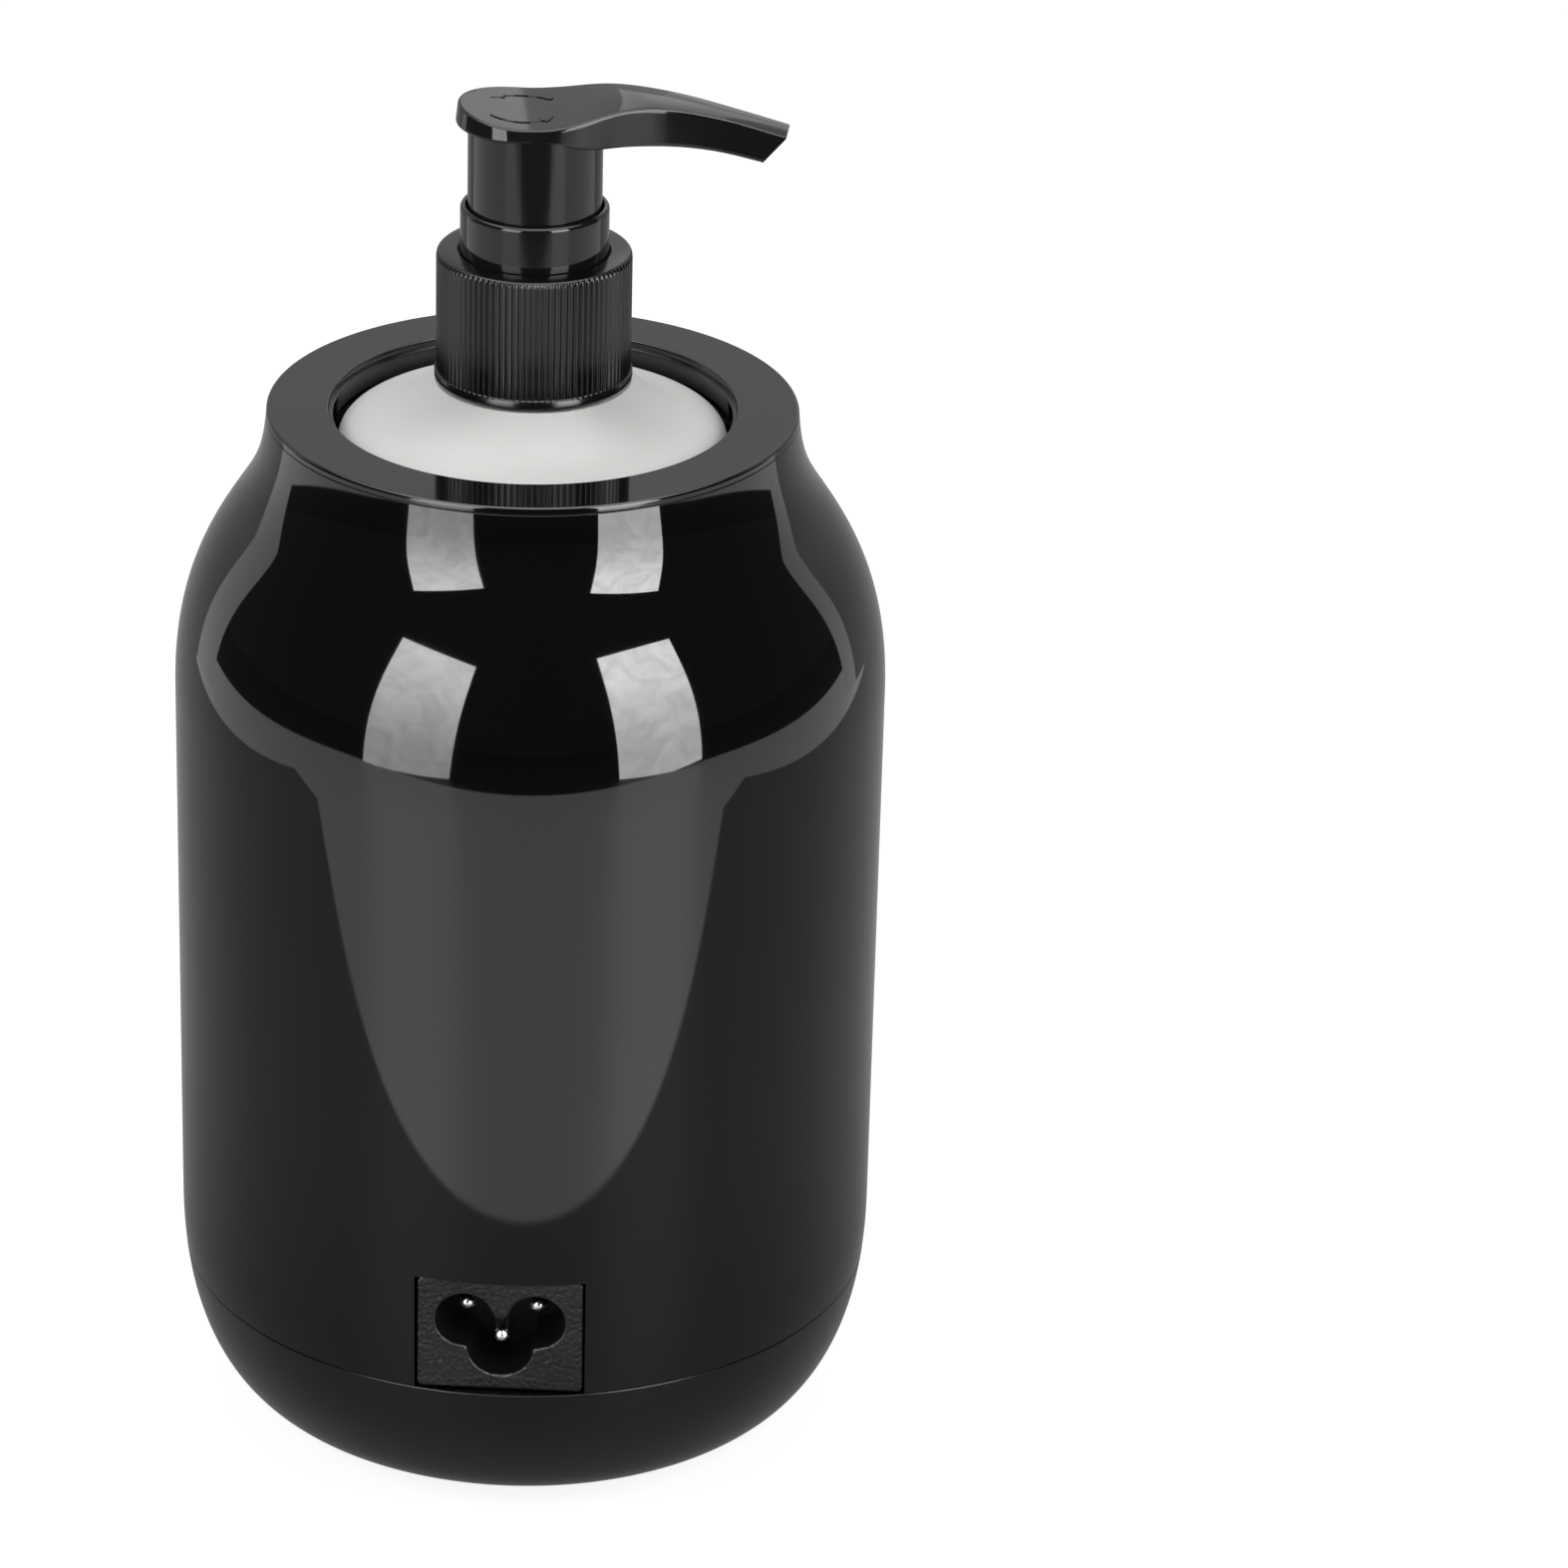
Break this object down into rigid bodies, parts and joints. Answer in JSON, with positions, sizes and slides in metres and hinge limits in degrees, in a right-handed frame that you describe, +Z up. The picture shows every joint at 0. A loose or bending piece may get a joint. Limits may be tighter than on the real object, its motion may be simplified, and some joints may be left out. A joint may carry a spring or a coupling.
{
  "type": "massage oil warmer",
  "caption": "Round glossy table warmer whose heated well holds a translucent bottle with a lock-up lotion pump, with a cloverleaf power inlet and press buttons.",
  "frame": {"origin": "on the table, under the middle of the round body, at the underside of the rubber feet", "axes": "+Z up along the body's axis, -Y out of the power inlet's face, the pump's spout within 4 degrees of +X"},
  "size_m": [0.1, 0.1, 0.1964],
  "materials": {
    "gloss_black": "high gloss moulded black",
    "satin_black": "satin moulded black",
    "rubber": "matt",
    "cup_metal": "black hard-anodised",
    "heater": "matt silicone",
    "lagging": "felted fibre",
    "circuit_board": "solder mask",
    "component": "moulded",
    "relay_blue": "moulded",
    "terminal_green": "moulded",
    "steel": "bright",
    "pin_metal": "nickel plated",
    "wire": "insulated",
    "inlet_plastic": "fine texture",
    "panel_gloss": "gloss",
    "lens": "smoked gloss",
    "button": "satin",
    "bottle_plastic": "translucent natural",
    "pump_gloss": "gloss",
    "collar_plastic": "satin ribbed",
    "white_plastic": "natural",
    "gasket": "foam"
  },
  "bodies": {
    "warmer": {"housing": "gloss_black", "base_pan": "satin_black", "rubber_feet": "rubber", "base_screws": "steel", "top_ring": "gloss_black", "heating_cup": "cup_metal", "heater_band": "heater", "insulation_sleeve": "lagging", "temperature_sensor": "component", "thermal_fuse": "steel", "control_board": "circuit_board", "power_module": "component", "relay": "relay_blue", "terminal_block": "terminal_green", "board_screws": "steel", "inlet_body": "inlet_plastic", "inlet_pins": "pin_metal", "mains_leads": "wire", "heater_leads": "wire", "front_panel": "panel_gloss", "display_lens": "lens", "display_board": "circuit_board", "display_module": "component", "tact_switches": "component", "panel_screws": "steel", "display_ribbon": "wire"},
    "power_key": {"power_button": "button"},
    "plus_key": {"plus_button": "button"},
    "minus_key": {"minus_button": "button"},
    "bottle": {"bottle": "bottle_plastic"},
    "pump_insert": {"lock_ring": "pump_gloss", "neck_gasket": "gasket", "pump_cylinder": "white_plastic", "dip_tube": "white_plastic"},
    "closure": {"collar": "collar_plastic"},
    "check_ball": {"valve_ball": "steel"},
    "plunger": {"piston": "white_plastic", "pump_spring": "steel"},
    "actuator": {"stem": "white_plastic", "pump_head": "pump_gloss"}
  },
  "joints": [
    {"name": "bottle_lift", "type": "slide", "parent": "warmer", "child": "bottle", "axis": [0, 0, 1], "range_m": [0, 0.15]},
    {"name": "pump_rise", "type": "slide", "parent": "bottle", "child": "pump_insert", "axis": [0, 0, 1], "range_m": [0, 0.0048]},
    {"name": "collar_turn", "type": "hinge", "parent": "pump_insert", "child": "closure", "pos_m": [0, 0, 0.165], "axis": [0, 0, 1], "range_deg": [0, 540]},
    {"name": "valve_lift", "type": "slide", "parent": "pump_insert", "child": "check_ball", "axis": [0, 0, 1], "range_m": [0, 0.0012]},
    {"name": "pump_press", "type": "slide", "parent": "pump_insert", "child": "plunger", "axis": [0, 0, 1], "range_m": [-0.01, 0], "stiffness_N_per_m": 600, "springref_m": 0.012, "deforming": ["pump_spring"]},
    {"name": "head_turn", "type": "hinge", "parent": "plunger", "child": "actuator", "pos_m": [0, 0, 0.185], "axis": [0, 0, 1], "range_deg": [-90, 0]},
    {"name": "power_press", "type": "slide", "parent": "warmer", "child": "power_key", "axis": [0, -1, 0], "range_m": [0, 0.0006], "stiffness_N_per_m": 2000, "springref_m": -0.0003},
    {"name": "plus_press", "type": "slide", "parent": "warmer", "child": "plus_key", "axis": [0, -1, 0], "range_m": [0, 0.0006], "stiffness_N_per_m": 2000, "springref_m": -0.0003},
    {"name": "minus_press", "type": "slide", "parent": "warmer", "child": "minus_key", "axis": [0, -1, 0], "range_m": [0, 0.0006], "stiffness_N_per_m": 2000, "springref_m": -0.0003}
  ],
  "couplings": [
    {"joint": "pump_rise", "follows": "collar_turn", "m_per_rad": 0.00050532}
  ]
}
